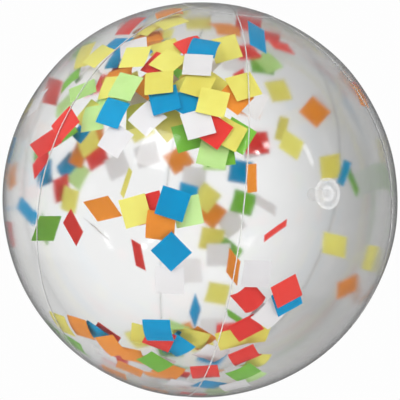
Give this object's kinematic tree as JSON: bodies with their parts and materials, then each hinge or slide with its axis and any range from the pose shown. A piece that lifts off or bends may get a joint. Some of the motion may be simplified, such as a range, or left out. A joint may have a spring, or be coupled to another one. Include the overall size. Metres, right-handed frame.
{
  "type": "inflatable beach ball",
  "caption": "Clear inflatable ball of welded lens-shaped panels with polar discs, a push-in air valve and loose paper squares inside.",
  "frame": {"origin": "centre of the ball, on the line through its two polar discs", "axes": "+Z along that line towards the top polar disc; -Y faces the viewer, and the valve is on the -Y side, 36.5 degrees towards +X"},
  "size_m": [0.3, 0.3, 0.3006],
  "materials": {
    "clear_film": "clear soft vinyl film, glossy, slightly hazy",
    "clear_moulding": "clear soft moulded vinyl",
    "paper_yellow": "thin tissue paper",
    "paper_orange": "thin tissue paper",
    "paper_red": "thin tissue paper",
    "paper_blue": "thin tissue paper",
    "paper_green": "thin tissue paper",
    "paper_lime": "thin tissue paper",
    "paper_white": "thin tissue paper"
  },
  "bodies": {
    "ball": {"bottom_polar_disc": "clear_film", "gore_panel_1": "clear_film", "gore_panel_2": "clear_film", "gore_panel_3": "clear_film", "gore_panel_4": "clear_film", "gore_panel_5": "clear_film", "gore_panel_6": "clear_film", "top_polar_disc": "clear_film", "valve_diaphragm": "clear_moulding", "valve_flange": "clear_moulding"},
    "stem": {"valve_stem": "clear_moulding", "plug_tether": "clear_moulding"},
    "plug": {"valve_plug": "clear_moulding"},
    "flap": {"valve_check_flap": "clear_moulding"},
    "wall_confetti": {"confetti_lower_blue": "paper_blue", "confetti_lower_green": "paper_green", "confetti_lower_lime": "paper_lime", "confetti_lower_orange": "paper_orange", "confetti_lower_red": "paper_red", "confetti_lower_white": "paper_white", "confetti_lower_yellow": "paper_yellow", "confetti_middle_blue": "paper_blue", "confetti_middle_green": "paper_green", "confetti_middle_lime": "paper_lime", "confetti_middle_orange": "paper_orange", "confetti_middle_red": "paper_red", "confetti_middle_white": "paper_white", "confetti_middle_yellow": "paper_yellow", "confetti_upper_blue": "paper_blue", "confetti_upper_green": "paper_green", "confetti_upper_lime": "paper_lime", "confetti_upper_orange": "paper_orange", "confetti_upper_red": "paper_red", "confetti_upper_white": "paper_white", "confetti_upper_yellow": "paper_yellow"},
    "loose_confetti": {"confetti_loose_blue": "paper_blue", "confetti_loose_green": "paper_green", "confetti_loose_lime": "paper_lime", "confetti_loose_orange": "paper_orange", "confetti_loose_red": "paper_red", "confetti_loose_white": "paper_white", "confetti_loose_yellow": "paper_yellow"}
  },
  "joints": [
    {"name": "valve_pop_out", "type": "slide", "parent": "ball", "child": "stem", "axis": [0.5732, -0.7746, 0.2672], "range_m": [0, 0.012], "deforming": ["valve_diaphragm"]},
    {"name": "plug_pull", "type": "slide", "parent": "stem", "child": "plug", "axis": [0.5732, -0.7746, 0.2672], "range_m": [0, 0.012], "deforming": ["plug_tether"]},
    {"name": "check_flap_swing", "type": "hinge", "parent": "stem", "child": "flap", "pos_m": [0.07586, -0.10252, 0.04004], "axis": [0.8039, 0.5948, 0], "range_deg": [0, 60], "stiffness_Nm_per_rad": 0.00001, "springref_deg": -17.19},
    {"name": "wall_confetti_tumble", "type": "hinge", "parent": "ball", "child": "wall_confetti", "pos_m": [0, 0, 0], "axis": [0.5732, -0.7746, 0.2672], "continuous": true},
    {"name": "loose_confetti_tumble", "type": "hinge", "parent": "ball", "child": "loose_confetti", "pos_m": [0, 0, 0], "axis": [0.5732, -0.7746, 0.2672], "continuous": true}
  ]
}
